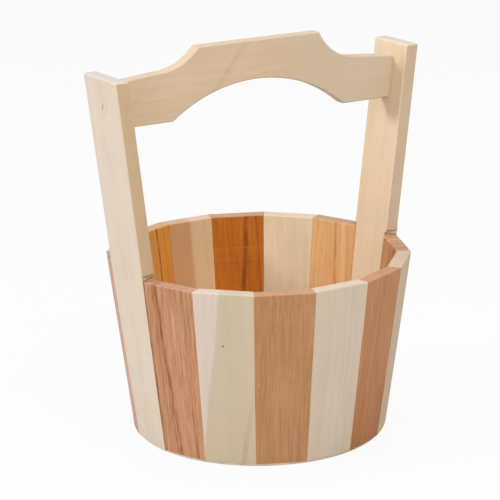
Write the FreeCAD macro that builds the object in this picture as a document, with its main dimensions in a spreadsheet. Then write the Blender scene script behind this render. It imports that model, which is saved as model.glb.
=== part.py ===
import FreeCAD, Part
import math
import os
import Sketcher
from FreeCAD import Placement, Rotation, Vector

# Wooden piggin: a pail of sixteen flat bevelled staves. Two opposite staves run on above
# the rim as handle staves, and an arched crosspiece is butted between them.
# The frame stands on the underside of the base, +Z up, with the handle along X.

doc = FreeCAD.newDocument("wooden_piggin")

# Driving sizes in millimetres
SIZES = {
    # Pail
    "rim_radius": 115.0,
    "base_radius": 98.0,
    "rim_height": 136.0,
    "stave_wall": 11.0,
    "base_wall": 2.5,
    "arris": 0.5,
    # Handle staves
    "shoulder_rise": 3.0,
    "tip_depth": 40.0,
    "left_tip_width": 48.5,
    "right_tip_width": 42.0,
    "handle_arris": 1.0,
    # Crosspiece
    "hand_gap": 107.0,
    "cross_wall": 10.0,
    "cross_droop": 4.5,
    "left_cove_depth": 36.5,
    "right_cove_depth": 35.0,
    "shoulder_fall": 3.0,
    "crest_depth": 54.5,
    "crest_half": 52.0,
    "cove_run": 34.0,
    "arch_half": 73.5,
    "arch_rise": 25.4,
    "grip_arris": 0.8,
    # Pegs between the staves
    "peg_radius": 2.0,
    "peg_length": 20.0,
    # Brads that hold the base
    "brad_radius": 0.8,
    "brad_length": 16.0,
    "brad_head_radius": 1.6,
    "brad_head": 0.8,
    "brad_sink": 0.2,
    # Screws and plugs of the handle
    "plug_radius": 5.75,
    "plug_wall": 3.2,
    "screw_radius": 2.0,
    "screw_length": 38.0,
    "screw_tip": 5.0,
    "screw_head_radius": 3.8,
    "screw_head": 2.4,
    # Clearances and the one overrun of every cut
    "fit": 0.05,
    "end_gap": 0.5,
    "overrun": 1.0,
}

# Degrees of the turn that each board takes, anticlockwise from the right handle stave,
# which is centred on +X as the left one is on -X
RIGHT_HANDLE_ANGLE = 20.8
BACK_ANGLES = [22.8, 22.5, 23.2, 21.7, 23.0, 22.6, 22.2]
LEFT_HANDLE_ANGLE = 23.2
FRONT_ANGLES = [22.25, 22.55, 22.55, 22.4, 22.3, 22.95, 23.0]

sheet = doc.addObject("Spreadsheet::Sheet", "Sizes")
for row, (name, size) in enumerate(SIZES.items(), start=1):
    sheet.set(f"A{row}", name)
    sheet.set(f"B{row}", str(size))
    sheet.setAlias(f"B{row}", name)
doc.recompute()

# Heights of the pegs as shares of the rim's
PEG_HEIGHT_SHARES = {"low": 0.235, "high": 0.765}

# No bore takes more of a piece than this leaves
LEAST_LEFT_SHARE = 0.8

nodes = []


def value(expression):
    """The number that an expression on the sheet has now."""
    found = sheet.evalExpression(expression)
    return float(getattr(found, "Value", found))


def reach(height):
    """Distance from the axis to a stave joint at a height."""
    return f"(Sizes.base_radius + (Sizes.rim_radius - Sizes.base_radius) * {height} / Sizes.rim_height)"


def face_reach(height, half_angle):
    """Distance from the axis to the middle of a board's outer face at a height."""
    return f"({reach(height)} * cos({half_angle} deg))"


def lean(half_angle):
    """Lean of a board's faces out of the vertical."""
    return f"atan((Sizes.rim_radius - Sizes.base_radius) * cos({half_angle} deg) / Sizes.rim_height)"


def new_body(name):
    body = doc.addObject("PartDesign::Body", name)
    body.Label = name
    return body


def sketch_on(body, role, name):
    """A sketch on one of the body's own origin planes."""
    sketch = body.newObject("Sketcher::SketchObject", name)
    plane = next(feature for feature in body.Origin.OriginFeatures if feature.Role == role)
    sketch.AttachmentSupport = (plane, [""])
    sketch.MapMode = "FlatFace"
    return sketch


def pin_point(sketch, geometry, end, across, along):
    """Fix one point of a sketch at two expressions, measured from the sketch's origin."""
    for kind, expression in (("DistanceX", across), ("DistanceY", along)):
        index = sketch.addConstraint(
            Sketcher.Constraint(kind, -1, 1, geometry, end, value(expression)))
        sketch.setExpression(f"Constraints[{index}]", expression)


def draw_polygon(sketch, corners):
    """A closed polygon whose corners are pairs of expressions."""
    points = [Vector(value(across), value(along), 0) for across, along in corners]
    for start, end in zip(points, points[1:] + points[:1]):
        sketch.addGeometry(Part.LineSegment(start, end), False)
    for index in range(len(points)):
        following = (index + 1) % len(points)
        sketch.addConstraint(Sketcher.Constraint("Coincident", index, 2, following, 1))
    for index, (across, along) in enumerate(corners):
        pin_point(sketch, index, 1, across, along)


def short_arc(centre, radius, start, end):
    """The shorter arc of a circle between two of its points, drawn anticlockwise."""
    first, last = (math.atan2(point.y - centre.y, point.x - centre.x) for point in (start, end))
    if (last - first) % math.tau > math.pi:
        first, last = last, first
    circle = Part.Circle(centre, Vector(0, 0, 1), radius)
    return Part.ArcOfCircle(circle, first, first + (last - first) % math.tau)


def draw_circle(sketch, across, along, radius):
    centre = Vector(value(across), value(along), 0)
    circle = sketch.addGeometry(Part.Circle(centre, Vector(0, 0, 1), value(radius)), False)
    pin_point(sketch, circle, 3, across, along)
    index = sketch.addConstraint(Sketcher.Constraint("Radius", circle, value(radius)))
    sketch.setExpression(f"Constraints[{index}]", radius)


def raise_sketch(sketch, height):
    sketch.setExpression("AttachmentOffset.Base.z", height)


def add_loft(body, name, lower, *upper):
    loft = body.newObject("PartDesign::AdditiveLoft", name)
    loft.Profile = lower
    loft.Sections = list(upper)
    loft.Ruled = True
    doc.recompute()
    return loft


def add_pocket(body, name, sketch, depth, backwards=False):
    """Cut a sketch into the body by a depth, and see that it took a little off."""
    before = body.Shape.Volume
    pocket = body.newObject("PartDesign::Pocket", name)
    pocket.Profile = sketch
    pocket.Reversed = backwards
    pocket.setExpression("Length", depth)
    doc.recompute()
    if not before * LEAST_LEFT_SHARE < body.Shape.Volume < before:
        raise RuntimeError(f"{name} of {body.Label} cuts nothing, or too much")
    return pocket


def dress_edges(body, kind, name, size, wanted):
    """Round or bevel the edges of the body's last feature that a test picks."""
    base = body.Tip
    picked = [f"Edge{number}" for number, edge in enumerate(base.Shape.Edges, start=1) if wanted(edge)]
    dressed = body.newObject(f"PartDesign::{kind}", name)
    dressed.Base = (base, picked)
    dressed.setExpression("Radius" if kind == "Fillet" else "Size", size)
    doc.recompute()
    if "Invalid" in dressed.State or not dressed.Shape.isValid():
        raise RuntimeError(f"{name} of {body.Label} failed")


def lowest(edge):
    return min(vertex.Z for vertex in edge.Vertexes)


# Boards of the pail


def bevelled_section(body, name, half_angle, height, inset="0"):
    """Section of a board between two radial joints, square to the axis, with its arrises taken off."""
    outer = f"({face_reach(height, half_angle)} - {inset})"
    inner = f"({face_reach(height, half_angle)} - Sizes.stave_wall + {inset})"
    slant = f"tan({half_angle} deg)"
    cut = "Sizes.arris"
    sketch = sketch_on(body, "XY_Plane", name)
    raise_sketch(sketch, height)
    draw_polygon(sketch, [
        (f"{inner} + {cut}", f"-({inner} + {cut}) * {slant}"),
        (f"{outer} - {cut}", f"-({outer} - {cut}) * {slant}"),
        (outer, f"{cut} - {outer} * {slant}"),
        (outer, f"{outer} * {slant} - {cut}"),
        (f"{outer} - {cut}", f"({outer} - {cut}) * {slant}"),
        (f"{inner} + {cut}", f"({inner} + {cut}) * {slant}"),
        (inner, f"{inner} * {slant} - {cut}"),
        (inner, f"{cut} - {inner} * {slant}"),
    ])
    return sketch


def square_section(body, name, half_angle, height, width):
    """Section of a handle stave above its shoulder: square edges with their arrises taken off."""
    outer = face_reach(height, half_angle)
    inner = f"({outer} - Sizes.stave_wall)"
    side = f"({width} / 2)"
    cut = "Sizes.handle_arris"
    sketch = sketch_on(body, "XY_Plane", name)
    raise_sketch(sketch, height)
    draw_polygon(sketch, [
        (f"{inner} + {cut}", f"-{side}"),
        (f"{outer} - {cut}", f"-{side}"),
        (outer, f"{cut} - {side}"),
        (outer, f"{side} - {cut}"),
        (f"{outer} - {cut}", side),
        (f"{inner} + {cut}", side),
        (inner, f"{side} - {cut}"),
        (inner, f"{cut} - {side}"),
    ])
    return sketch


def bore_for_pegs(body, half_angle):
    """Two blind bores in each bevelled edge, square to the joint."""
    for side, turn in (("far", half_angle), ("near", -half_angle)):
        sketch = sketch_on(body, "XZ_Plane", f"{side}_peg_bores")
        sketch.AttachmentOffset = Placement(Vector(), Rotation(Vector(0, 1, 0), turn))
        for share in PEG_HEIGHT_SHARES.values():
            height = f"(Sizes.rim_height * {share})"
            middle = f"{reach(height)} - Sizes.stave_wall / 2"
            draw_circle(sketch, middle, height, "Sizes.peg_radius + Sizes.fit")
        depth = "Sizes.peg_length / 2 + Sizes.end_gap"
        add_pocket(body, f"{side}_peg_pocket", sketch, depth, backwards=turn > 0)


def brad_place(half_angle):
    """Distance from the axis to the brad of a board, in the middle of its wall."""
    return f"({face_reach('Sizes.base_wall', half_angle)} - Sizes.stave_wall / 2)"


def bore_for_brad(body, half_angle):
    """Pilot bore for the brad that comes up through the base."""
    sketch = sketch_on(body, "XY_Plane", "brad_bore")
    raise_sketch(sketch, "Sizes.base_wall")
    draw_circle(sketch, brad_place(half_angle), "0", "Sizes.brad_radius + Sizes.fit")
    depth = "Sizes.brad_length - Sizes.base_wall + Sizes.brad_sink + Sizes.end_gap"
    add_pocket(body, "brad_pocket", sketch, depth, backwards=True)


def make_stave(name, azimuth, half_angle):
    """One short stave, from the base to the rim, centred on an azimuth."""
    body = new_body(name)
    foot = bevelled_section(body, "foot_section", half_angle, "Sizes.base_wall")
    neck = bevelled_section(body, "under_rim_section", half_angle, "(Sizes.rim_height - Sizes.arris)")
    head = bevelled_section(body, "rim_section", half_angle, "Sizes.rim_height", "Sizes.arris")
    add_loft(body, "board", foot, neck, head)
    bore_for_pegs(body, half_angle)
    bore_for_brad(body, half_angle)
    body.Placement = Placement(Vector(), Rotation(Vector(0, 0, 1), azimuth))
    nodes.append(body)


# Handle staves, crosspiece and what holds them

# The crosspiece droops a little to the right, and its shoulders fall towards both ends
HAND = {"right": 1, "left": -1}
MIDDLE_BOTTOM = "(Sizes.rim_height + Sizes.hand_gap)"
TIP_HEIGHT = f"({MIDDLE_BOTTOM} + Sizes.tip_depth)"
CREST_HEIGHT = f"({MIDDLE_BOTTOM} + Sizes.crest_depth)"
END_BOTTOM = {side: f"({MIDDLE_BOTTOM} - {sign} * Sizes.cross_droop / 2)" for side, sign in HAND.items()}
COVE_FOOT = {side: f"({END_BOTTOM[side]} + Sizes.{side}_cove_depth)" for side in HAND}
END_TOP = {side: f"({COVE_FOOT[side]} - Sizes.shoulder_fall)" for side in HAND}
SCREW_HEIGHT = {side: f"(({END_BOTTOM[side]} + {END_TOP[side]}) / 2)" for side in HAND}
RECESS_DEPTH = "(Sizes.plug_wall + Sizes.screw_head)"


def sketch_on_handle_face(body, name, side, half_angle, sign=1):
    """A sketch on a handle stave's outer face, centred on its screw, looking outward."""
    sketch = sketch_on(body, "YZ_Plane", name)
    sketch.AttachmentOffset = Placement(Vector(), Rotation(Vector(1, 0, 0), 90))
    tilt = lean(half_angle) if sign > 0 else f"180 deg - {lean(half_angle)}"
    sketch.setExpression("AttachmentOffset.Rotation.Angle", tilt)
    sketch.setExpression("AttachmentOffset.Base.y", SCREW_HEIGHT[side])
    sketch.setExpression("AttachmentOffset.Base.z", f"{sign} * {face_reach(SCREW_HEIGHT[side], half_angle)}")
    return sketch


def draw_centred_circle(sketch, radius):
    circle = sketch.addGeometry(Part.Circle(Vector(), Vector(0, 0, 1), value(radius)), False)
    sketch.addConstraint(Sketcher.Constraint("Coincident", circle, 3, -1, 1))
    index = sketch.addConstraint(Sketcher.Constraint("Radius", circle, value(radius)))
    sketch.setExpression(f"Constraints[{index}]", radius)


def make_handle_stave(side, azimuth, half_angle):
    """A long stave: bevelled edges up to a shoulder just above the rim, square above it."""
    body = new_body(f"handle_stave_{side}")
    shoulder = "(Sizes.rim_height + Sizes.shoulder_rise)"
    foot = bevelled_section(body, "foot_section", half_angle, "Sizes.base_wall")
    bevel_end = bevelled_section(body, "bevel_end_section", half_angle, shoulder)
    add_loft(body, "bevelled_board", foot, bevel_end)
    neck_width = f"(2 * {face_reach(shoulder, half_angle)} * tan({half_angle} deg))"
    neck = square_section(body, "neck_section", half_angle, shoulder, neck_width)
    tip = square_section(body, "tip_section", half_angle, TIP_HEIGHT, f"Sizes.{side}_tip_width")
    add_loft(body, "square_board", neck, tip)
    below_tip = value(f"{TIP_HEIGHT} - Sizes.handle_arris")

    def tip_edge(edge):
        return lowest(edge) > below_tip

    dress_edges(body, "Fillet", "soft_tip", "Sizes.handle_arris", tip_edge)
    recess = sketch_on_handle_face(body, "plug_recess", side, half_angle)
    draw_centred_circle(recess, "Sizes.plug_radius + Sizes.fit")
    add_pocket(body, "plug_pocket", recess, RECESS_DEPTH)
    bore = sketch_on_handle_face(body, "screw_bore", side, half_angle)
    draw_centred_circle(bore, "Sizes.screw_radius + Sizes.fit")
    add_pocket(body, "screw_pocket", bore, "Sizes.stave_wall + Sizes.overrun")
    bore_for_pegs(body, half_angle)
    bore_for_brad(body, half_angle)
    body.Placement = Placement(Vector(), Rotation(Vector(0, 0, 1), azimuth))
    nodes.append(body)


def make_crosspiece(half_angles):
    """The arched grip, with its ends cut to the lean of the handle staves."""
    body = new_body("crosspiece")
    sketch = sketch_on(body, "XZ_Plane", "outline")
    cove_foot_reach = "(Sizes.crest_half + Sizes.cove_run)"

    def end_point(side, height):
        """Where the board's end, cut to a handle stave's inner face, is at a height."""
        return f"{HAND[side]} * ({face_reach(height, half_angles[side])} - Sizes.stave_wall)", height

    corners = [
        end_point("right", END_BOTTOM["right"]),
        end_point("right", END_TOP["right"]),
        (cove_foot_reach, COVE_FOOT["right"]),
        ("Sizes.crest_half", CREST_HEIGHT),
        ("-Sizes.crest_half", CREST_HEIGHT),
        (f"-{cove_foot_reach}", COVE_FOOT["left"]),
        end_point("left", END_TOP["left"]),
        end_point("left", END_BOTTOM["left"]),
        ("-Sizes.arch_half", END_BOTTOM["left"]),
        ("Sizes.arch_half", END_BOTTOM["right"]),
    ]
    points = [Vector(value(across), value(along), 0) for across, along in corners]
    curves = {}
    for index, side in ((2, "right"), (4, "left")):
        # The cove leaves its foot level and rises to the crest's corner
        rise = f"({CREST_HEIGHT} - {COVE_FOOT[side]})"
        radius = f"((Sizes.cove_run^2 + {rise}^2) / (2 * {rise}))"
        curves[index] = (radius, f"{HAND[side]} * {cove_foot_reach}", f"{COVE_FOOT[side]} + {radius}")
    # The arch rises square to the slanted line between its feet
    half_span = "sqrt(Sizes.arch_half^2 + Sizes.cross_droop^2 / 4)"
    arch_radius = f"(({half_span}^2 + Sizes.arch_rise^2) / (2 * Sizes.arch_rise))"
    below = f"({arch_radius} - Sizes.arch_rise) / {half_span}"
    curves[8] = (
        arch_radius,
        f"-{below} * Sizes.cross_droop / 2",
        f"{MIDDLE_BOTTOM} - {below} * Sizes.arch_half",
    )
    for index, start in enumerate(points):
        end = points[(index + 1) % len(points)]
        if index in curves:
            radius, across, along = curves[index]
            centre = Vector(value(across), value(along), 0)
            sketch.addGeometry(short_arc(centre, value(radius), start, end), False)
        else:
            sketch.addGeometry(Part.LineSegment(start, end), False)

    def end_of(index, leaving):
        """Which end of a curve stands at its outline start or end point."""
        curve = sketch.Geometry[index]
        at = points[index] if leaving else points[(index + 1) % len(points)]
        return 1 if (curve.StartPoint - at).Length < (curve.EndPoint - at).Length else 2

    arriving = [end_of(index, False) for index in range(len(points))]
    leaving = [end_of(index, True) for index in range(len(points))]
    for index in range(len(points)):
        following = (index + 1) % len(points)
        sketch.addConstraint(Sketcher.Constraint(
            "Coincident", index, arriving[index], following, leaving[following]))
    for index, (across, along) in enumerate(corners):
        pin_point(sketch, index, leaving[index], across, along)
    # With both ends of an arc pinned, one coordinate of its centre settles it
    for index, kind in ((2, "DistanceX"), (4, "DistanceX"), (8, "DistanceY")):
        across, along = curves[index][1:]
        expression = across if kind == "DistanceX" else along
        constraint = sketch.addConstraint(
            Sketcher.Constraint(kind, -1, 1, index, 3, value(expression)))
        sketch.setExpression(f"Constraints[{constraint}]", expression)

    pad = body.newObject("PartDesign::Pad", "board")
    pad.Profile = sketch
    pad.Midplane = True
    pad.setExpression("Length", "Sizes.cross_wall")
    doc.recompute()
    face = value("Sizes.cross_wall") / 2
    end_reach = min(abs(point.x) for point in (points[0], points[7]))

    def outline_edge(edge):
        """Edges that run along the two faces, apart from the butted ends."""
        flat = all(abs(abs(vertex.Y) - face) < face / 100 for vertex in edge.Vertexes)
        along = abs(edge.Vertexes[0].Y - edge.Vertexes[-1].Y) < face
        at_end = all(abs(vertex.X) > end_reach * 0.99 for vertex in edge.Vertexes)
        return flat and along and not at_end

    dress_edges(body, "Chamfer", "soft_grip", "Sizes.grip_arris", outline_edge)
    for side, sign in HAND.items():
        pilot = sketch_on_handle_face(body, f"{side}_pilot", side, half_angles[side], sign)
        draw_centred_circle(pilot, "Sizes.screw_radius + Sizes.fit")
        depth = f"{RECESS_DEPTH} + Sizes.screw_length + Sizes.end_gap"
        add_pocket(body, f"{side}_pilot_pocket", pilot, depth)
    nodes.append(body)


def set_on_handle_axis(piece, side, half_angle, depth):
    """Stand a turned piece on the screw's axis, at a depth under the outer face, pointing inward."""
    sign = HAND[side]
    piece.Placement = Placement(Vector(), Rotation(Vector(0, 1, 0), 90))
    piece.setExpression("Placement.Rotation.Angle", f"-{sign} * (90 deg - {lean(half_angle)})")
    inward = f"{depth} * cos({lean(half_angle)})"
    upward = f"{depth} * sin({lean(half_angle)})"
    height = SCREW_HEIGHT[side]
    piece.setExpression("Placement.Base.x", f"{sign} * ({face_reach(height, half_angle)} - {inward})")
    piece.setExpression("Placement.Base.z", f"{height} + {upward}")


def make_handle_screw(side, half_angle):
    """A round-headed wood screw, turned about its axis, with its head under the plug."""
    body = new_body(f"handle_screw_{side}")
    sketch = sketch_on(body, "XZ_Plane", "half_profile")
    draw_polygon(sketch, [
        ("0", "-Sizes.screw_head"),
        ("Sizes.screw_head_radius * 0.6", "-Sizes.screw_head"),
        ("Sizes.screw_head_radius", "-Sizes.screw_head / 2"),
        ("Sizes.screw_head_radius", "0"),
        ("Sizes.screw_radius", "0"),
        ("Sizes.screw_radius", "Sizes.screw_length - Sizes.screw_tip"),
        ("0", "Sizes.screw_length"),
    ])
    turned = body.newObject("PartDesign::Revolution", "turned")
    turned.Profile = sketch
    turned.ReferenceAxis = (sketch, ["V_Axis"])
    doc.recompute()
    set_on_handle_axis(body, side, half_angle, RECESS_DEPTH)
    nodes.append(body)


def make_handle_plug(side, half_angle):
    """The wooden plug over the screw, flush with the handle stave's outer face."""
    plug = doc.addObject("Part::Cylinder", f"handle_plug_{side}")
    plug.Label = plug.Name
    plug.setExpression("Radius", "Sizes.plug_radius")
    plug.setExpression("Height", "Sizes.plug_wall - Sizes.fit")
    set_on_handle_axis(plug, side, half_angle, "0")
    nodes.append(plug)


# Base, pegs and brads


def make_base(joints, boards):
    """The thin base under the stave feet, with a sunk bore for each brad."""
    body = new_body("base_plate")
    sketch = sketch_on(body, "XY_Plane", "outline")
    draw_polygon(sketch, [
        (f"Sizes.base_radius * cos({joint} deg)", f"Sizes.base_radius * sin({joint} deg)") for joint in joints
    ])
    pad = body.newObject("PartDesign::Pad", "plate")
    pad.Profile = sketch
    pad.setExpression("Length", "Sizes.base_wall")
    doc.recompute()
    for name, radius, depth in (
        ("brad_bores", "Sizes.brad_radius + Sizes.fit", "Sizes.base_wall + Sizes.overrun"),
        ("brad_sinks", "Sizes.brad_head_radius + Sizes.fit", "Sizes.brad_head + Sizes.brad_sink"),
    ):
        bores = sketch_on(body, "XY_Plane", name)
        for azimuth, half_angle in boards:
            place = brad_place(half_angle)
            draw_circle(bores, f"{place} * cos({azimuth} deg)", f"{place} * sin({azimuth} deg)", radius)
        add_pocket(body, f"{name}_pocket", bores, depth, backwards=True)
    nodes.append(body)


def group_pieces(name, pieces):
    """Like pieces as one node of separate solids."""
    group = doc.addObject("Part::Compound", name)
    group.Label = name
    group.Links = pieces
    nodes.append(group)


def make_pegs(joints):
    """Two wooden pegs across each joint, in the middle of the wall."""
    pegs = []
    for joint in joints:
        for level, share in PEG_HEIGHT_SHARES.items():
            height = f"(Sizes.rim_height * {share})"
            middle = f"({reach(height)} - Sizes.stave_wall / 2)"
            peg = doc.addObject("Part::Cylinder", f"peg_{level}")
            peg.setExpression("Radius", "Sizes.peg_radius")
            peg.setExpression("Height", "Sizes.peg_length")
            turn = Rotation(Vector(0, 0, 1), joint)
            peg.Placement = Placement(Vector(), Rotation(Vector(0, 0, 1), turn.multVec(Vector(0, 1, 0))))
            across = f"{middle} * cos({joint} deg) + Sizes.peg_length / 2 * sin({joint} deg)"
            along = f"{middle} * sin({joint} deg) - Sizes.peg_length / 2 * cos({joint} deg)"
            peg.setExpression("Placement.Base.x", across)
            peg.setExpression("Placement.Base.y", along)
            peg.setExpression("Placement.Base.z", height)
            pegs.append(peg)
    group_pieces("stave_pegs", pegs)


def make_brads(boards):
    """One brad up through the base into the foot of each board."""
    brads = []
    for azimuth, half_angle in boards:
        place = brad_place(half_angle)
        parts = []
        for name, radius, length in (
            ("brad_head", "Sizes.brad_head_radius", "Sizes.brad_head"),
            ("brad_shank", "Sizes.brad_radius", "Sizes.brad_length"),
        ):
            turned = doc.addObject("Part::Cylinder", name)
            turned.setExpression("Radius", radius)
            turned.setExpression("Height", length)
            turned.setExpression("Placement.Base.x", f"{place} * cos({azimuth} deg)")
            turned.setExpression("Placement.Base.y", f"{place} * sin({azimuth} deg)")
            turned.setExpression("Placement.Base.z", "Sizes.brad_sink")
            parts.append(turned)
        brad = doc.addObject("Part::Fuse", "brad")
        brad.Base, brad.Tool = parts
        brads.append(brad)
    group_pieces("base_brads", brads)


# Assembly

names = ["right"]
names += [f"stave_{number:02d}" for number in range(1, len(BACK_ANGLES) + 1)]
names += ["left"]
names += [f"stave_{number + len(BACK_ANGLES):02d}" for number in range(1, len(FRONT_ANGLES) + 1)]
angles = [RIGHT_HANDLE_ANGLE] + BACK_ANGLES + [LEFT_HANDLE_ANGLE] + FRONT_ANGLES
joints = [-RIGHT_HANDLE_ANGLE / 2]
for angle in angles[:-1]:
    joints.append(joints[-1] + angle)
boards = [(start + angle / 2, angle / 2) for start, angle in zip(joints, angles)]
half_angles = {"right": RIGHT_HANDLE_ANGLE / 2, "left": LEFT_HANDLE_ANGLE / 2}

for name, (azimuth, half_angle) in zip(names, boards):
    if name in HAND:
        make_handle_stave(name, azimuth, half_angle)
    else:
        make_stave(name, azimuth, half_angle)
make_crosspiece(half_angles)
for side in HAND:
    make_handle_screw(side, half_angles[side])
    make_handle_plug(side, half_angles[side])
make_base(joints, boards)
make_pegs(joints)
make_brads(boards)
doc.recompute()

# Every object has to be sound before anything is written
for thing in doc.Objects:
    if "Invalid" in thing.State or "Error" in thing.State:
        raise RuntimeError(f"{thing.Label} failed: {thing.State}")
for node in nodes:
    if node.Shape.isNull() or not node.Shape.isValid():
        raise RuntimeError(f"{node.Label} has no valid shape")

os.makedirs("parts", exist_ok=True)
for node in nodes:
    node.Shape.exportStep(f"parts/{node.Label}.step")
    print(node.Label, len(node.Shape.Solids), round(node.Shape.Volume))
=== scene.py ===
import math
import random

import bmesh
import bpy
from mathutils import Matrix, Vector


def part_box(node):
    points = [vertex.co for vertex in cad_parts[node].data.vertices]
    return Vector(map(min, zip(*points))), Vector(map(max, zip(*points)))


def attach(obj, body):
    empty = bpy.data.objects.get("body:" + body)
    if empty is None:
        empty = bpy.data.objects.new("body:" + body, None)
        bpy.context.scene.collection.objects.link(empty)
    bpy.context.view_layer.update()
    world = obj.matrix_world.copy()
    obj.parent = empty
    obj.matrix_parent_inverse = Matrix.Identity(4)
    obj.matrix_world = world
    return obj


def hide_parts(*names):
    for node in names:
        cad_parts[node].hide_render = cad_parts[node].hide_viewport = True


# Wooden piggin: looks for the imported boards, and the studio around them.
# Metres, +Z up, handle along X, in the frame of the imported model.

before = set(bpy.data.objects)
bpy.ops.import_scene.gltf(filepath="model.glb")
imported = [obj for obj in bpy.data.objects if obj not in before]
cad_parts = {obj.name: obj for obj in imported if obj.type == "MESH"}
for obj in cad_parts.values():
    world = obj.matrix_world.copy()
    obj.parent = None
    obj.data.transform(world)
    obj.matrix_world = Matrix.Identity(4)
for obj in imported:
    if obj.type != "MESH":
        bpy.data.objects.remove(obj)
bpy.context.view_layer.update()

MM = 0.001
WHITE = (1, 1, 1, 1)

# How far the boards lean out between the foot and the rim
RIM_HEIGHT, STAVE_SPREAD = 136 * MM, 17 * MM
STAVE_LEAN = math.atan(STAVE_SPREAD / RIM_HEIGHT)


# Boards with softened edges, in place of the square-cut solids

ARRIS_STEPS, FACE_STEPS = 3, 8
FOOT_STEPS, RIM_STEPS = 2, 4
FLAT_ANGLE = math.radians(50)
UNEVEN_SEED = 16

FOOT_CROWN, RIM_CROWN = 1.5 * MM, 0.2 * MM
CROWN_FADE = 1.6
JOINT_SOFT, EDGE_SOFT = 0.55 * MM, 1.5 * MM
FOOT_SOFT, RIM_SOFT, TIP_SOFT = 0.35 * MM, 1.1 * MM, 1.7 * MM
FOOT_SIDE_SHARE, RIM_SIDE_SHARE = 0.5, 0.3
UNEVEN_RIM, UNEVEN_FACE = 0.45 * MM, 0.3 * MM

SHOULDER_RISE, LEDGE_RISE = 3 * MM, 0.6 * MM
PLUG_STAND = 0.1 * MM

# Heights of the sections, as shares of the bevelled part and of the square part above it
LOWER_SHARES = (0.12, 0.3, 0.5, 0.7, 0.88, 1.0)
UPPER_SHARES = (0.04, 0.35, 0.7, 1.0)

pieces = {}


def add_piece(node, mesh):
    """A mesh that stands for a CAD node, shaded flat on its faces and smooth round its arrises."""
    mesh.polygons.foreach_set("use_smooth", [True] * len(mesh.polygons))
    mesh.set_sharp_from_angle(angle=FLAT_ANGLE)
    piece = bpy.data.objects.new(f"{node}_board", mesh)
    bpy.context.scene.collection.objects.link(piece)
    normals = piece.modifiers.new("flat_faces", "WEIGHTED_NORMAL")
    normals.keep_sharp = True
    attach(piece, "root")
    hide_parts(node)
    pieces[node] = piece


def skin(name, loops):
    """A closed mesh through loops of equally many points, with both ends capped."""
    shell = bmesh.new()
    rings = [[shell.verts.new(point) for point in loop] for loop in loops]
    for lower, upper in zip(rings, rings[1:]):
        for index in range(len(lower)):
            after = (index + 1) % len(lower)
            shell.faces.new((lower[index], lower[after], upper[after], upper[index]))
    shell.faces.new(rings[0][::-1])
    shell.faces.new(rings[-1])
    bmesh.ops.recalc_face_normals(shell, faces=shell.faces)
    mesh = bpy.data.meshes.new(name)
    shell.to_mesh(mesh)
    shell.free()
    return mesh


def quarter(steps):
    """Sine and cosine from nothing to a right angle."""
    for step in range(steps + 1):
        turn = math.pi / 2 * step / steps
        yield math.sin(turn), math.cos(turn)


class Board:
    """Sizes of a stave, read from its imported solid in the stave's own direction."""

    def __init__(self, name):
        foot_band, tip_band = 0.1 * MM, 1.2 * MM
        points = [vertex.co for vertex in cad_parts[name].data.vertices]
        self.foot = min(point.z for point in points)
        self.top = max(point.z for point in points)
        at_foot = [point for point in points if point.z < self.foot + foot_band]
        middle = sum(at_foot, Vector()) / len(at_foot)
        self.azimuth = math.atan2(middle.y, middle.x)
        turn = Matrix.Rotation(-self.azimuth, 3, "Z")
        own = [turn @ point for point in points]
        own_foot = [turn @ point for point in at_foot]
        furthest = max(own, key=lambda point: point.x)
        widest = max(own_foot, key=lambda point: point.y)
        self.foot_reach = max(point.x for point in own_foot)
        self.wall = self.foot_reach - min(point.x for point in own_foot)
        self.lean = (furthest.x - self.foot_reach) / (furthest.z - self.foot)
        self.slant = widest.y / widest.x
        self.tip_half = max(point.y for point in own if point.z > self.top - tip_band)

    def reach(self, height):
        return self.foot_reach + (height - self.foot) * self.lean

    def bevelled_halves(self, height):
        """Half widths of the outer and inner face between two radial joints."""
        return self.reach(height) * self.slant, (self.reach(height) - self.wall) * self.slant

    def loop(self, height, halves, soft, crown, outer_cut=0.0, side_cut=0.0, sunk=0.0):
        """Points round the section at a height: four rounded arrises and a crowned outer face."""
        outer = self.reach(height) - sunk - outer_cut
        inner = self.reach(height) - sunk - self.wall + outer_cut
        outer_half, inner_half = (half - side_cut for half in halves)
        corners = [
            Vector((inner, -inner_half)), Vector((outer, -outer_half)),
            Vector((outer, outer_half)), Vector((inner, inner_half)),
        ]
        flat = []
        for index, corner in enumerate(corners):
            before = (corners[index - 1] - corner).normalized() * soft
            after = (corners[(index + 1) % len(corners)] - corner).normalized() * soft
            for sine, cosine in quarter(ARRIS_STEPS):
                flat.append(corner + before * (1 - sine) + after * (1 - cosine))
            # The outer face lies between the second corner and the third
            if index == 1:
                start, end = flat[-1], Vector((outer, outer_half - soft))
                flat += [start.lerp(end, step / FACE_STEPS) for step in range(1, FACE_STEPS)]
        turned = Matrix.Rotation(self.azimuth, 3, "Z")
        points = []
        for radial, across in flat:
            if radial > (outer + inner) / 2:
                radial -= crown * (across / outer_half) ** 2
            points.append(turned @ Vector((radial, across, height)))
        return points


def lower_loops(board, last, rim, sunk):
    """The bevelled part from the foot up: rounder at the foot, flatter towards the rim."""
    loops = []
    for sine, cosine in quarter(FOOT_STEPS):
        height = board.foot + FOOT_SOFT * (1 - cosine)
        cut = FOOT_SOFT * (1 - sine)
        loops.append(board.loop(
            height, board.bevelled_halves(height), JOINT_SOFT, FOOT_CROWN,
            cut, cut * FOOT_SIDE_SHARE, sunk))
    for share in LOWER_SHARES:
        height = board.foot + (last - board.foot) * share
        crown = RIM_CROWN + (FOOT_CROWN - RIM_CROWN) * max(0.0, 1 - height / rim) ** CROWN_FADE
        loops.append(board.loop(
            height, board.bevelled_halves(height), JOINT_SOFT, crown, sunk=sunk))
    return loops


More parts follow.
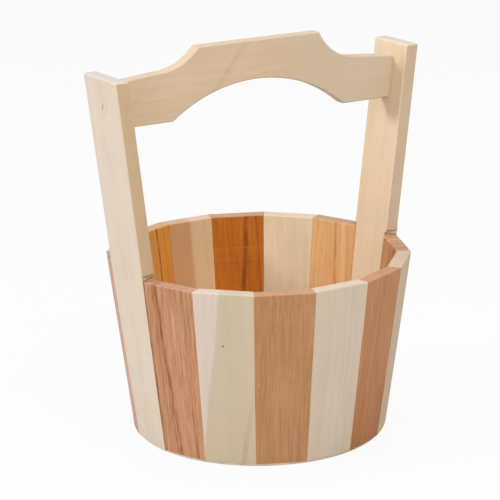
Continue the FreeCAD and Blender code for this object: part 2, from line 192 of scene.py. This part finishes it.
def shape_stave(name, chance):
    """A short stave: it stands a hair out of line with its neighbours, as hand-fitted boards do."""
    board = Board(name)
    rim = board.top - chance.uniform(0.0, UNEVEN_RIM)
    sunk = chance.uniform(0.0, UNEVEN_FACE)
    loops = lower_loops(board, rim - RIM_SOFT, rim, sunk)
    for sine, cosine in list(quarter(RIM_STEPS))[1:]:
        height = rim - RIM_SOFT * (1 - sine)
        cut = RIM_SOFT * (1 - cosine)
        loops.append(board.loop(
            height, board.bevelled_halves(height), JOINT_SOFT, RIM_CROWN,
            cut, cut * RIM_SIDE_SHARE, sunk))
    add_piece(name, skin(f"{name}_board", loops))


def shape_handle_stave(name):
    """A long stave: bevelled to its shoulder, then square-edged up to a rounded tip."""
    board = Board(name)
    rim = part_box("stave_01")[1].z
    shoulder = rim + SHOULDER_RISE
    ledge = shoulder + LEDGE_RISE
    square_end = board.top - TIP_SOFT
    neck_half = board.bevelled_halves(shoulder)[0]
    loops = lower_loops(board, shoulder, rim, PLUG_STAND)

    def square_loop(height, soft, cut=0.0):
        share = (height - shoulder) / (board.top - shoulder)
        half = neck_half + (board.tip_half - neck_half) * share
        return board.loop(height, (half, half), soft, 0.0, cut, cut, PLUG_STAND)

    loops.append(square_loop(ledge, JOINT_SOFT))
    for share in UPPER_SHARES:
        loops.append(square_loop(ledge + (square_end - ledge) * share, EDGE_SOFT))
    for sine, cosine in list(quarter(RIM_STEPS))[1:]:
        loops.append(square_loop(square_end + TIP_SOFT * sine, EDGE_SOFT, TIP_SOFT * (1 - cosine)))
    add_piece(name, skin(f"{name}_board", loops))


def shape_base():
    """The base: sanded round with the feet, and very slightly hollow underneath."""
    setback = 0.7 * MM
    round_height, round_depth = 4 * MM, 2.4 * MM
    hollow, hollow_in, middle_in, foot_in = 0.25 * MM, 1.0 * MM, 6 * MM, 0.7 * MM
    points = 128
    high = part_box("base_plate")[1]
    levels = [(hollow, middle_in), (hollow, round_depth + hollow_in), (0.0, round_depth + foot_in)]
    for share in (0.0, 0.1, 0.25, 0.45, 0.7, 1.0):
        height = high.z * share
        to_go = (round_height - height) / round_height
        levels.append((height, round_depth * (1 - math.sqrt(1 - to_go ** 2))))
    loops = [[
        Vector((math.cos(turn), math.sin(turn), 0)) * (high.y - setback - cut)
        + Vector((0, 0, height))
        for turn in (2 * math.pi * index / points for index in range(points))
    ] for height, cut in levels]
    add_piece("base_plate", skin("base_plate_board", loops))


def soften_crosspiece():
    """The crosspiece with its bevelled arrises rounded over."""
    weld, flat, least_turn = 0.001 * MM, math.radians(0.5), math.radians(30)
    solid = bmesh.new()
    solid.from_mesh(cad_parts["crosspiece"].data)
    bmesh.ops.remove_doubles(solid, verts=solid.verts, dist=weld)
    bmesh.ops.dissolve_limit(solid, angle_limit=flat, verts=solid.verts, edges=solid.edges)
    mesh = bpy.data.meshes.new("crosspiece_board")
    solid.to_mesh(mesh)
    solid.free()
    add_piece("crosspiece", mesh)
    modifiers = pieces["crosspiece"].modifiers
    rounding = modifiers.new("rounding", "BEVEL")
    rounding.width = 0.32 * MM
    rounding.segments = 2
    rounding.angle_limit = least_turn
    rounding.use_clamp_overlap = True

    # The edges are rounded before the normals are weighted
    modifiers.move(1, 0)


def shape_boards():
    """Every board in turn; the short staves draw their unevenness in the order of their names."""
    chance = random.Random(UNEVEN_SEED)
    for name in sorted(STAVES):
        shape_stave(name, chance)
    for name in sorted(HANDLES):
        shape_handle_stave(name)
    shape_base()
    soften_crosspiece()


# Colours and shader arithmetic


def shade(red, green, blue):
    """A colour given as it looks on a screen, as the linear colour that a shader takes."""
    parts = [value / 255 for value in (red, green, blue)]
    linear = [
        part / 12.92 if part <= 0.04045 else ((part + 0.055) / 1.055) ** 2.4 for part in parts]
    return (*linear, 1.0)


class Wire:
    """An output of a node that takes part in arithmetic, one Math node for each step."""

    def __init__(self, finish, socket):
        self.finish = finish
        self.socket = socket

    def step(self, operation, first, second=0.0):
        return self.finish.add("ShaderNodeMath", {"operation": operation}, {0: first, 1: second})

    def __add__(self, other):
        return self.step("ADD", self, other)

    def __sub__(self, other):
        return self.step("SUBTRACT", self, other)

    def __rsub__(self, other):
        return self.step("SUBTRACT", other, self)

    def __mul__(self, other):
        return self.step("MULTIPLY", self, other)

    def __pow__(self, other):
        return self.step("POWER", self, other)

    def __rpow__(self, other):
        return self.step("POWER", other, self)

    def __abs__(self):
        return self.step("ABSOLUTE", self)

    def root(self):
        return self.step("SQRT", self)

    def sine(self):
        return self.step("SINE", self)

    __radd__ = __add__
    __rmul__ = __mul__


class Finish:
    """The nodes of a material or a world, added one by one."""

    def __init__(self, holder):
        self.holder = holder
        holder.use_nodes = True
        self.nodes = holder.node_tree.nodes
        self.links = holder.node_tree.links
        self.nodes.clear()

    def add_whole(self, kind, settings=None, sockets=None):
        """A node: its settings first, then the values or wires of its sockets."""
        node = self.nodes.new(kind)
        for name, setting in (settings or {}).items():
            setattr(node, name, setting)
        for key, value in (sockets or {}).items():
            if isinstance(value, Wire):
                self.links.new(value.socket, node.inputs[key])
            else:
                node.inputs[key].default_value = value
        return [Wire(self, socket) for socket in node.outputs]

    def add(self, kind, settings=None, sockets=None, out=0):
        """The same, for a node of which one output is used."""
        return self.add_whole(kind, settings, sockets)[out]

    def place(self):
        """The point on the surface, in the model's frame."""
        return self.add("ShaderNodeTexCoord", out=3)

    def split(self, vector):
        return self.add_whole("ShaderNodeSeparateXYZ", None, {0: vector})

    def point(self, first, second, third):
        return self.add("ShaderNodeCombineXYZ", None, {0: first, 1: second, 2: third})

    def mix(self, amount, first, second):
        return self.add(
            "ShaderNodeMix", {"data_type": "RGBA"}, {0: amount, 6: first, 7: second}, out=2)

    def tinted(self, amount, colour, tint):
        """The colour seen through a tint."""
        return self.add(
            "ShaderNodeMix", {"data_type": "RGBA", "blend_type": "MULTIPLY"},
            {0: amount, 6: colour, 7: tint}, out=2)

    def ease(self, value, low, high):
        """0 below low, 1 above high and smooth between, or the other way round."""
        return self.add(
            "ShaderNodeMapRange", {"interpolation_type": "SMOOTHSTEP"},
            {"Value": value, "From Min": low, "From Max": high})

    def noise(self, where, scale=1.0, detail=2.0, roughness=0.5):
        return self.add(
            "ShaderNodeTexNoise", {"noise_dimensions": "3D"},
            {"Vector": where, "Scale": scale, "Detail": detail, "Roughness": roughness})

    def surface(self, colour, roughness, height, depth, metallic=0.0):
        """The closing shader: colour, roughness and a bump of a real depth."""
        normal = self.add(
            "ShaderNodeBump", None, {"Strength": 0.6, "Distance": depth, "Height": height})
        shader = self.add(
            "ShaderNodeBsdfPrincipled", None,
            {"Base Color": colour, "Roughness": roughness, "Normal": normal,
             "Specular IOR Level": 0.25, "Metallic": metallic})
        self.add_whole("ShaderNodeOutputMaterial", None, {"Surface": shader})


# Wood

# Turns of each noise for a metre across and along the grain, which of the three directions
# the seed shifts, and the noise's detail and roughness
GRAIN = {
    "drift": (9, 6, 0, 2.0, 0.5),
    "waver": (30, 55, 0, 2.0, 0.5),
    "fine": (950, 30, 0, 3.0, 0.65),
    "broad": (420, 9, 0, 4.0, 0.65),
    "cloud": (40, 18, 2, 3.0, 0.5),
    "torn": (330, 75, 1, 4.0, 0.7),
    "pore": (2600, 130, 0, 1.0, 0.5),
}
MEAN, BROAD_MEAN = 0.5, 0.45
SEED_SHIFT = 0.37
RING_POWER = 2.2
TONE_SPAN = (-0.5, 1.0)

TORN_SHARE, BROKEN_SPAN = 0.6, (0.36, 0.62)
UNBROKEN_SHARE = 0.35
SIDE_RAGGED_SHARE = 0.5
MARK_WAVER, MARK_SPAN = 5 * MM, (1.1 * MM, 0.2 * MM)

KNOT_SHORTEN, KNOT_CORE_SHARE, KNOT_STRENGTH = 0.6, 0.3, 0.9
HALO_SHORTEN, HALO_SIZES, HALO_STRENGTH = 0.16, 3.2, 0.35
PORE_SPAN, PORE_STRENGTH = (0.64, 0.74), 0.55
# Upward faces that take the end grain and painted highlight, and the sideways handle edges
END_GRAIN_AND_HIGHLIGHT_SPAN, EDGE_SPAN = (0.35, 0.95), (0.75, 0.95)
# Painted shadow lines of the shoulder step: their width and strength
PAINTED_STEP_SHADOW_SPAN, PAINTED_STEP_SHADOW_STRENGTH = (0.45 * MM, 0.15 * MM), 0.8
ROUGHNESS, FINE_ROUGHNESS, CLOUD_ROUGHNESS = 0.50, 0.18, 0.10
GRAIN_DEPTH, FINE_RELIEF, RING_RELIEF, PORE_RELIEF = 0.16 * MM, 0.5, 0.3, 0.9


def board_lines(finish, azimuth):
    """Across, through and along a stave: the grain runs up its leaning length."""
    turned = finish.add(
        "ShaderNodeVectorRotate", {"rotation_type": "Z_AXIS"},
        {"Vector": finish.place(), "Angle": -azimuth})
    stood = finish.add(
        "ShaderNodeVectorRotate", {"rotation_type": "Y_AXIS"},
        {"Vector": turned, "Angle": -STAVE_LEAN})
    through, across, along = finish.split(stood)
    return across, through, along


def level_lines(finish, middle_height):
    """Across, through and along a board whose grain runs level, along X."""
    along, through, across = finish.split(finish.place())
    return across - middle_height, through, along


class Wood:
    """One piece's grain: its directions, how they wander, and the noises that it needs."""

    def __init__(self, node, lines, look, seed):
        self.finish = Finish(bpy.data.materials.new(f"{node}_wood"))
        self.look = look
        self.shift = seed * SEED_SHIFT
        self.across, self.through, self.along = lines(self.finish)
        self.drift = self.grain("drift", self.across)
        self.waver = self.grain("waver", self.across)
        self.line = (self.across + (self.drift - MEAN) * look["wander"]
                     + (self.waver - MEAN) * look["waver"])
        self.fine = self.grain("fine", self.line)
        self.cloud = self.grain("cloud", self.across)
        torn = self.grain("torn", self.across)
        self.ragged = (torn - MEAN) * look["ragged"]
        self.broken = self.finish.ease(
            torn * TORN_SHARE + self.fine * (1 - TORN_SHARE), *BROKEN_SPAN)

    def grain(self, name, across):
        """A noise drawn out along the board."""
        turns_across, turns_along, shifted, detail, roughness = GRAIN[name]
        where = [across * turns_across, self.through * turns_across, self.along * turns_along]
        where[shifted] = where[shifted] + self.shift
        return self.finish.noise(self.finish.point(*where), 1.0, detail, roughness)

    def rings(self):
        """Growth rings about a pith that lies off the board."""
        pith_across, pith_through = self.look["pith"]
        radius = ((self.line - pith_across) ** 2 + (self.through - pith_through) ** 2).root()
        wave = (radius * (2 * math.pi / self.look["ring"])).sine() * 0.5 + 0.5
        return wave ** RING_POWER

    def ground(self, rings):
        """The plain wood: rings, fine fibres, broader soft ones, and clouding."""
        look = self.look
        broad = self.grain("broad", self.line)
        dark = (rings * look["rings"] + (self.fine - MEAN) * look["fine"]
                + (broad - BROAD_MEAN) * look["broad"] + (self.cloud - MEAN) * look["cloud"])
        return self.finish.mix(self.finish.ease(dark, *TONE_SPAN), look["light"], look["dark"])

    def streaks(self, colour):
        """Ragged bands of another tone that follow the grain."""
        for middle, slant, half_width, edge, strength, hue in self.look.get("streaks", ()):
            way = abs(self.line - middle - self.along * slant + self.ragged)
            band = self.finish.ease(way, half_width + edge, half_width)
            band = band * (self.broken * (1 - UNBROKEN_SHARE) + UNBROKEN_SHARE)
            colour = self.finish.mix(band * strength, colour, hue)
        return colour

    def sides(self, colour):
        """A second tone to one side of a soft line, as between sapwood and heartwood."""
        for middle, slant, bend, edge, strength, hue in self.look.get("sides", ()):
            way = (self.line - middle - self.along * slant - (self.drift - MEAN) * bend
                   + self.ragged * SIDE_RAGGED_SHARE)
            colour = self.finish.mix(self.finish.ease(way, -edge, edge) * strength, colour, hue)
        return colour

    def marks(self, colour):
        """Faint marks across the grain, left by the saw."""
        for mark_along, strength, hue in self.look.get("marks", ()):
            way = abs(self.along - mark_along + (self.waver - MEAN) * MARK_WAVER)
            mark = self.finish.ease(way, *MARK_SPAN) * self.broken
            colour = self.finish.mix(mark * strength, colour, hue)
        return colour

    def knots(self, colour):
        """Pin knots, each a dark point in a faint halo drawn out along the grain."""
        for knot_across, knot_along, size in self.look.get("knots", ()):
            beside, above = self.across - knot_across, self.along - knot_along
            away = (beside ** 2 + (above * KNOT_SHORTEN) ** 2).root()
            halo = (beside ** 2 + (above * HALO_SHORTEN) ** 2).root()
            stain = self.finish.ease(halo, size * HALO_SIZES, 0) * HALO_STRENGTH
            core = self.finish.ease(away, size, size * KNOT_CORE_SHARE) * KNOT_STRENGTH
            colour = self.finish.mix(stain, colour, self.look["dark"])
            colour = self.finish.mix(core, colour, shade(92, 62, 40))
        return colour

    def ends_edges_and_painted_light(self, colour):
        """End grain with a painted highlight on upward faces; handle edges tinted, with painted
        step shadows.
        """
        look = self.look
        facing = self.finish.add("ShaderNodeTexCoord", out=1)
        _, sideways, upward = self.finish.split(facing)
        end_grain_and_highlight_strength, end_grain_and_highlight_hue = look["end"]
        # Upward faces turn paler: partly end grain, partly a painted highlight, whitest on the
        # handle tips
        end = self.finish.ease(upward, *END_GRAIN_AND_HIGHLIGHT_SPAN)
        colour = self.finish.mix(end * end_grain_and_highlight_strength, colour, end_grain_and_highlight_hue)
        if "scribes" in look:
            edge = self.finish.ease(abs(sideways), *EDGE_SPAN)
            colour = self.finish.tinted(edge, colour, look["edge_tint"])
            # Painted shadow lines of the shoulder step, dark across the narrow sides
            for height in look["scribes"]:
                cut = self.finish.ease(abs(self.along - height), *PAINTED_STEP_SHADOW_SPAN)
                colour = self.finish.mix(cut * edge * PAINTED_STEP_SHADOW_STRENGTH, colour, shade(122, 78, 48))
        return colour


def paint_wood(node, lines, look, seed):
    """A procedural wood in this look, put on a node's piece."""
    wood = Wood(node, lines, look, seed)
    finish = wood.finish
    rings = wood.rings()
    colour = wood.knots(wood.marks(wood.sides(wood.streaks(wood.ground(rings)))))

    # Open pores: short dark dashes
    pores = finish.ease(wood.grain("pore", wood.line), *PORE_SPAN) * look["pores"]
    colour = finish.mix(pores * PORE_STRENGTH, colour, look["pore"])

    colour = wood.ends_edges_and_painted_light(colour)
    roughness = (ROUGHNESS + (wood.fine - MEAN) * FINE_ROUGHNESS
                 + (wood.cloud - MEAN) * CLOUD_ROUGHNESS)
    height = wood.fine * FINE_RELIEF + rings * RING_RELIEF - pores * PORE_RELIEF
    finish.surface(colour, roughness, height, GRAIN_DEPTH)
    dress(node, finish)


def dress(node, finish):
    """The piece that stands for a node, or else the node itself, takes the finish."""
    mesh = pieces.get(node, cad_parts[node]).data
    mesh.materials.clear()
    mesh.materials.append(finish.holder)


PALE = {
    "light": shade(231, 215, 192), "dark": shade(205, 180, 144), "pore": shade(176, 142, 104),
    "wander": 14 * MM, "waver": 0.8 * MM, "pith": (9 * MM, 60 * MM), "ring": 6.5 * MM,
    "rings": 0.09, "fine": 0.45, "broad": 0.60, "cloud": 0.60, "pores": 0.20, "ragged": 0.8 * MM,
    "end": (0.32, shade(216, 200, 190)),
}
RED = {
    "light": shade(212, 158, 111), "dark": shade(158, 100, 60), "pore": shade(120, 68, 40),
    "wander": 12 * MM, "waver": 1.2 * MM, "pith": (-14 * MM, 55 * MM), "ring": 2.6 * MM,
    "rings": 0.06, "fine": 1.20, "broad": 0.60, "cloud": 0.60, "pores": 0.55, "ragged": 1.2 * MM,
    "end": (0.13, shade(232, 212, 200)),
}
ORANGE = {
    **RED, "light": shade(224, 160, 98), "dark": shade(176, 104, 48), "pore": shade(140, 78, 34),
    "pores": 0.35, "end": (0.6, shade(204, 184, 160)),
}


def tone(base, **changes):
    """A look like another one but for some changes."""
    return {**base, **changes}


# Streaks are middle, slant, half width, edge, strength and colour; sides are middle, slant,
# bend, edge, strength and colour; marks are along, strength and colour; knots are across,
# along and size; an end is the strength and colour of the upward faces, end grain with a
# painted highlight
STAVES = {
    "stave_01": tone(
        ORANGE, light=shade(229, 187, 130), dark=shade(200, 131, 78), broad=0.9,
        end=(0.75, shade(184, 148, 124)),
        streaks=[
            (-4 * MM, 0.02, 0.5 * MM, 1.6 * MM, 0.6, shade(176, 96, 44)),
            (-9 * MM, 0.0, 1.4 * MM, 1.8 * MM, 0.4, shade(252, 214, 164)),
            (9 * MM, 0.01, 0.2 * MM, 1.0 * MM, 0.3, shade(206, 128, 66))]),
    "stave_02": tone(PALE, light=shade(238, 221, 192), dark=shade(206, 176, 136), cloud=1.0),
    "stave_03": tone(
        ORANGE, light=shade(214, 130, 44), dark=shade(160, 82, 14), waver=3 * MM,
        ragged=5 * MM, cloud=0.9,
        streaks=[
            (5.2 * MM, -0.096, 0.7 * MM, 2.2 * MM, 0.75, shade(124, 56, 10)),
            (-18 * MM, 0.01, 0.3 * MM, 1.6 * MM, 0.6, shade(136, 66, 16))],
        marks=[(122 * MM, 0.35, shade(226, 150, 72)), (110 * MM, 0.25, shade(128, 62, 16))]),
    "stave_04": tone(
        PALE, light=shade(240, 208, 168), dark=shade(220, 180, 136),
        sides=[(-1.5 * MM, 0.0, 3 * MM, 2.2 * MM, 0.95, shade(214, 164, 120))]),
    "stave_05": tone(
        ORANGE, light=shade(236, 166, 70), dark=shade(202, 126, 42),
        streaks=[
            (-6 * MM, 0.01, 0.4 * MM, 1.2 * MM, 0.9, shade(128, 70, 30)),
            (0.5 * MM, 0.0, 0.2 * MM, 0.8 * MM, 0.6, shade(140, 80, 40)),
            (-13 * MM, 0.0, 0.2 * MM, 1.0 * MM, 0.5, shade(176, 100, 36))],
        sides=[(-5 * MM, 0.01, 2 * MM, 0.8 * MM, 0.85, shade(219, 155, 76))]),
    "stave_06": tone(PALE),
    "stave_07": tone(
        RED, light=shade(214, 170, 140), dark=shade(162, 108, 78),
        streaks=[(-6 * MM, 0.0, 2.0 * MM, 1.5 * MM, 0.6, shade(120, 70, 46))]),
    "stave_08": tone(
        RED, light=shade(212, 158, 118), dark=shade(150, 92, 58), wander=5 * MM, waver=3 * MM,
        ragged=5 * MM, fine=2.0, broad=0.9,
        streaks=[
            (0 * MM, -0.08, 0.4 * MM, 1.7 * MM, 0.9, shade(138, 72, 38)),
            (-3 * MM, -0.075, 0.2 * MM, 2.6 * MM, 0.5, shade(150, 90, 58)),
            (-17.5 * MM, -0.03, 0.8 * MM, 1.2 * MM, 1.0, shade(134, 74, 40)),
            (-11 * MM, -0.02, 0.1 * MM, 1.2 * MM, 0.35, shade(150, 90, 58)),
            (14 * MM, -0.01, 0.2 * MM, 1.6 * MM, 0.5, shade(150, 92, 60))]),
    "stave_09": tone(
        PALE, light=shade(226, 210, 196), dark=shade(206, 186, 166),
        sides=[
            (-21 * MM, 0.135, 2 * MM, 1.0 * MM, 0.8, shade(204, 187, 154)),
            (14 * MM, 0.02, 3 * MM, 3.0 * MM, 0.5, shade(214, 196, 166))],
        streaks=[
            (7.5 * MM, 0.186, 0.9 * MM, 1.6 * MM, 1.0, shade(140, 102, 64)),
            (2 * MM, 0.02, 1.0 * MM, 3.0 * MM, 0.25, shade(190, 156, 118)),
            (-20 * MM, 0.17, 0.3 * MM, 1.2 * MM, 0.35, shade(194, 170, 126))],
        knots=[(-1.5 * MM, 108.2 * MM, 0.8 * MM)]),
    "stave_10": tone(
        RED, light=shade(208, 156, 110), dark=shade(154, 98, 60), waver=1.5 * MM, cloud=0.8),
    "stave_11": tone(
        PALE, light=shade(224, 207, 190), dark=shade(202, 180, 152), broad=1.0,
        streaks=[
            (-20 * MM, 0.0, 1.0 * MM, 6.0 * MM, 0.5, shade(218, 200, 160)),
            (17 * MM, 0.0, 1.0 * MM, 5.0 * MM, 0.4, shade(220, 198, 160))]),
    "stave_12": tone(
        RED, light=shade(210, 150, 102), dark=shade(154, 94, 54), cloud=0.9, broad=0.8,
        # This board turns darker towards its foot
        sides=[(-100 * MM, 2.0, 0.0, 60 * MM, 0.4, shade(172, 104, 60))]),
    "stave_13": tone(PALE, light=shade(224, 201, 168), dark=shade(196, 163, 122), broad=0.9),
    "stave_14": tone(
        RED, fine=1.8,
        streaks=[
            (-14 * MM, 0.0, 0.4 * MM, 1.6 * MM, 0.7, shade(122, 70, 42)),
            (-4 * MM, 0.01, 0.3 * MM, 1.2 * MM, 0.6, shade(130, 76, 46)),
            (8 * MM, 0.0, 0.8 * MM, 2.0 * MM, 0.5, shade(226, 178, 138))]),
}
HANDLE = tone(
    PALE, light=shade(226, 211, 195), dark=shade(207, 186, 160), ring=7 * MM,
    # Heights along the board of the painted shadow lines at the shoulder step
    scribes=(149.2 * MM, 152.3 * MM), edge_tint=shade(240, 222, 198),
    # The tip's upward faces: end grain under a near-white painted highlight
    end=(0.6, shade(203, 204, 203)))
HANDLES = {
    "handle_stave_left": tone(
        HANDLE, sides=[(9 * MM, 0.01, 8 * MM, 2.5 * MM, 0.30, shade(228, 210, 180))]),
    "handle_stave_right": tone(
        HANDLE, light=shade(237, 216, 187), dark=shade(221, 188, 145),
        edge_tint=shade(234, 228, 226)),
}
CROSSPIECE = tone(
    PALE, light=shade(225, 200, 168), dark=shade(204, 172, 131), pith=(-60 * MM, 20 * MM),
    wander=30 * MM, waver=5 * MM, ring=8 * MM, rings=0.10, cloud=1.0,
    streaks=[
        (43 * MM, 1.32, 0.2 * MM, 7.0 * MM, 0.28, shade(204, 164, 108)),
        (46 * MM, 1.32, 0.2 * MM, 3.0 * MM, 0.22, shade(190, 146, 92))],
    sides=[(150 * MM, -5.0, 0.0, 100 * MM, 0.5, shade(214, 196, 172))])
BASE = tone(
    PALE, light=shade(254, 240, 218), dark=shade(226, 202, 170), wander=40 * MM,
    pith=(-40 * MM, 30 * MM), ring=9 * MM, rings=0.35)
CROSSPIECE_SEED, BASE_SEED, PEG_SEED = 21, 31, 32


def dress_staves():
    """Each stave in its own look, with the grain up its length."""
    for seed, (name, look) in enumerate({**STAVES, **HANDLES}.items(), start=1):
        azimuth = Board(name).azimuth
        paint_wood(name, lambda finish, turn=azimuth: board_lines(finish, turn), look, seed)


def dress_crosspiece():
    """The crosspiece, with the grain along it."""
    low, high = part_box("crosspiece")
    middle = (low.z + high.z) / 2
    paint_wood(
        "crosspiece", lambda finish: level_lines(finish, middle), CROSSPIECE, CROSSPIECE_SEED)


def dress_base():
    """The base plate, and the pegs, which stay hidden in the joints."""
    paint_wood("base_plate", lambda finish: level_lines(finish, 0.0), BASE, BASE_SEED)
    paint_wood("stave_pegs", lambda finish: level_lines(finish, 0.0), PALE, PEG_SEED)


def dress_plugs():
    """Wooden plugs over the screws: end grain, a glue line at the rim and a dark check."""
    grains = {
        "left": (shade(226, 211, 195), shade(212, 192, 168)),
        "right": (shade(236, 216, 187), shade(222, 191, 150)),
    }
    turns, depth = 900, 0.2 * MM
    glue_span, glue_strength = (5.1 * MM, 5.7 * MM), 0.10
    check_slant, check_strength = 0.15, 0.9
    check_width_span, check_length_span = (0.5 * MM, 0.25 * MM), (2.6 * MM, 1.8 * MM)
    for side, (pale, deep) in grains.items():
        name = f"handle_plug_{side}"
        low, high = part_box(name)
        middle = (low + high) / 2
        finish = Finish(bpy.data.materials.new(f"{name}_wood"))
        _, across, height = finish.split(finish.place())
        across, height = across - middle.y, height - middle.z
        reach = (across ** 2 + height ** 2).root()
        grain = finish.noise(finish.point(across * turns, height * turns, 0.0), 1.0, 3.0)
        colour = finish.mix(finish.ease(grain, 0.3, 0.7), pale, deep)
        glue = finish.ease(reach, *glue_span)
        colour = finish.mix(glue * glue_strength, colour, shade(188, 160, 128))
        check = finish.ease(abs(across + height * check_slant), *check_width_span)
        check = check * finish.ease(abs(height), *check_length_span)
        colour = finish.mix(check * check_strength, colour, shade(84, 60, 42))
        finish.surface(colour, 0.55 + (grain - MEAN) * 0.1, grain - check, depth)
        dress(name, finish)


def dress_steel():
    """Screws and brads: plain steel with a fine mottled dulling."""
    bright, worn = shade(186, 186, 184), shade(140, 138, 134)
    turns, depth = 900, 0.05 * MM
    for name in ("handle_screw_left", "handle_screw_right", "base_brads"):
        finish = Finish(bpy.data.materials.new(f"{name}_steel"))
        dull = finish.noise(finish.place(), turns, 3.0)
        colour = finish.mix(finish.ease(dull, 0.35, 0.7), bright, worn)
        finish.surface(colour, 0.28 + dull * 0.2, dull, depth, metallic=1.0)
        dress(name, finish)


# Studio


def lay_floor():
    """A pale floor that stays white to the camera but for the pail's soft shadow."""
    half_width, drop, white_to_camera = 6.0, 0.2 * MM, 0.92
    mesh = bpy.data.meshes.new("floor")
    sheet = bmesh.new()
    sheet.faces.new([
        sheet.verts.new((x * half_width, y * half_width, -drop))
        for x, y in ((-1, -1), (1, -1), (1, 1), (-1, 1))])
    sheet.to_mesh(mesh)
    sheet.free()
    floor = bpy.data.objects.new("floor", mesh)
    bpy.context.scene.collection.objects.link(floor)
    finish = Finish(bpy.data.materials.new("floor_paper"))
    cloud = finish.noise(finish.place(), 3.0, 2.0)
    paper = finish.mix(finish.ease(cloud, 0.3, 0.7), (0.72, 0.72, 0.72, 1), (0.70, 0.70, 0.70, 1))
    matt = finish.add(
        "ShaderNodeBsdfPrincipled", None,
        {"Base Color": paper, "Roughness": 1.0, "Specular IOR Level": 0.0})
    glow = finish.add("ShaderNodeEmission", None, {"Color": WHITE, "Strength": 1.0})
    seen = finish.add("ShaderNodeLightPath")
    blend = finish.add("ShaderNodeMixShader", None, {0: seen * white_to_camera, 1: matt, 2: glow})
    finish.add_whole("ShaderNodeOutputMaterial", None, {"Surface": blend})
    mesh.materials.append(finish.holder)


def light_room(strength):
    """Even light from all round, and a white backdrop to the camera."""
    room = bpy.data.worlds.new("room")
    bpy.context.scene.world = room
    finish = Finish(room)
    light = finish.add("ShaderNodeBackground", None, {"Color": WHITE, "Strength": strength})
    backdrop = finish.add("ShaderNodeBackground", None, {"Color": WHITE, "Strength": 1.0})
    seen = finish.add("ShaderNodeLightPath")
    blend = finish.add("ShaderNodeMixShader", None, {0: seen, 1: light, 2: backdrop})
    finish.add_whole("ShaderNodeOutputWorld", None, {"Surface": blend})


def hang_lamp(name, towards, distance, width, level):
    """A square soft box that lights a face turned to it by this level."""
    aim = Vector((0, 0, 140 * MM))
    lamp = bpy.data.lights.new(name, "AREA")
    lamp.size = width
    lamp.energy = level * math.pi ** 2 * distance ** 2
    box = bpy.data.objects.new(name, lamp)
    box.location = aim + Vector(towards).normalized() * distance
    box.rotation_euler = (box.location - aim).to_track_quat("Z", "Y").to_euler()
    bpy.context.scene.collection.objects.link(box)


def set_camera():
    """The photograph's viewpoint: in front, to the left and a little above."""
    azimuth, elevation = math.radians(-31.88), math.radians(16.37)
    distance, aim_height = 1.6295, 127.9 * MM
    pan, tilt, roll = math.radians(-0.2185), math.radians(0.2907), math.radians(-0.5448)
    back = Vector((
        math.sin(azimuth) * math.cos(elevation), -math.cos(azimuth) * math.cos(elevation),
        math.sin(elevation)))
    right = Vector((math.cos(azimuth), math.sin(azimuth), 0))
    up = right.cross(-back)
    ahead = (right * math.tan(pan) + up * math.tan(tilt) - back).normalized()
    level = ahead.cross(Vector((0, 0, 1))).normalized()
    upright = level.cross(ahead)
    side = level * math.cos(roll) + upright * math.sin(roll)
    top = upright * math.cos(roll) - level * math.sin(roll)
    turn = Matrix((side, top, -ahead)).transposed().to_4x4()
    camera = bpy.data.cameras.new("camera")
    camera.sensor_width = 36
    camera.lens = 155.95
    camera.clip_end = 50
    holder = bpy.data.objects.new("camera", camera)
    holder.matrix_world = Matrix.Translation(Vector((0, 0, aim_height)) + back * distance) @ turn
    bpy.context.scene.collection.objects.link(holder)
    bpy.context.scene.camera = holder


shape_boards()
dress_staves()
dress_crosspiece()
dress_base()
dress_plugs()
dress_steel()
lay_floor()
light_room(strength=0.50)
hang_lamp("key_lamp", towards=(-0.86, 0.28, 0.42), distance=2.4, width=0.5, level=0.43)
hang_lamp("front_lamp", towards=(-0.1, -0.66, 0.74), distance=1.8, width=1.0, level=0.43)
hang_lamp("top_lamp", towards=(0.1, 0.1, 1.0), distance=1.6, width=1.0, level=0.24)
set_camera()
bpy.context.scene.view_settings.view_transform = "Standard"
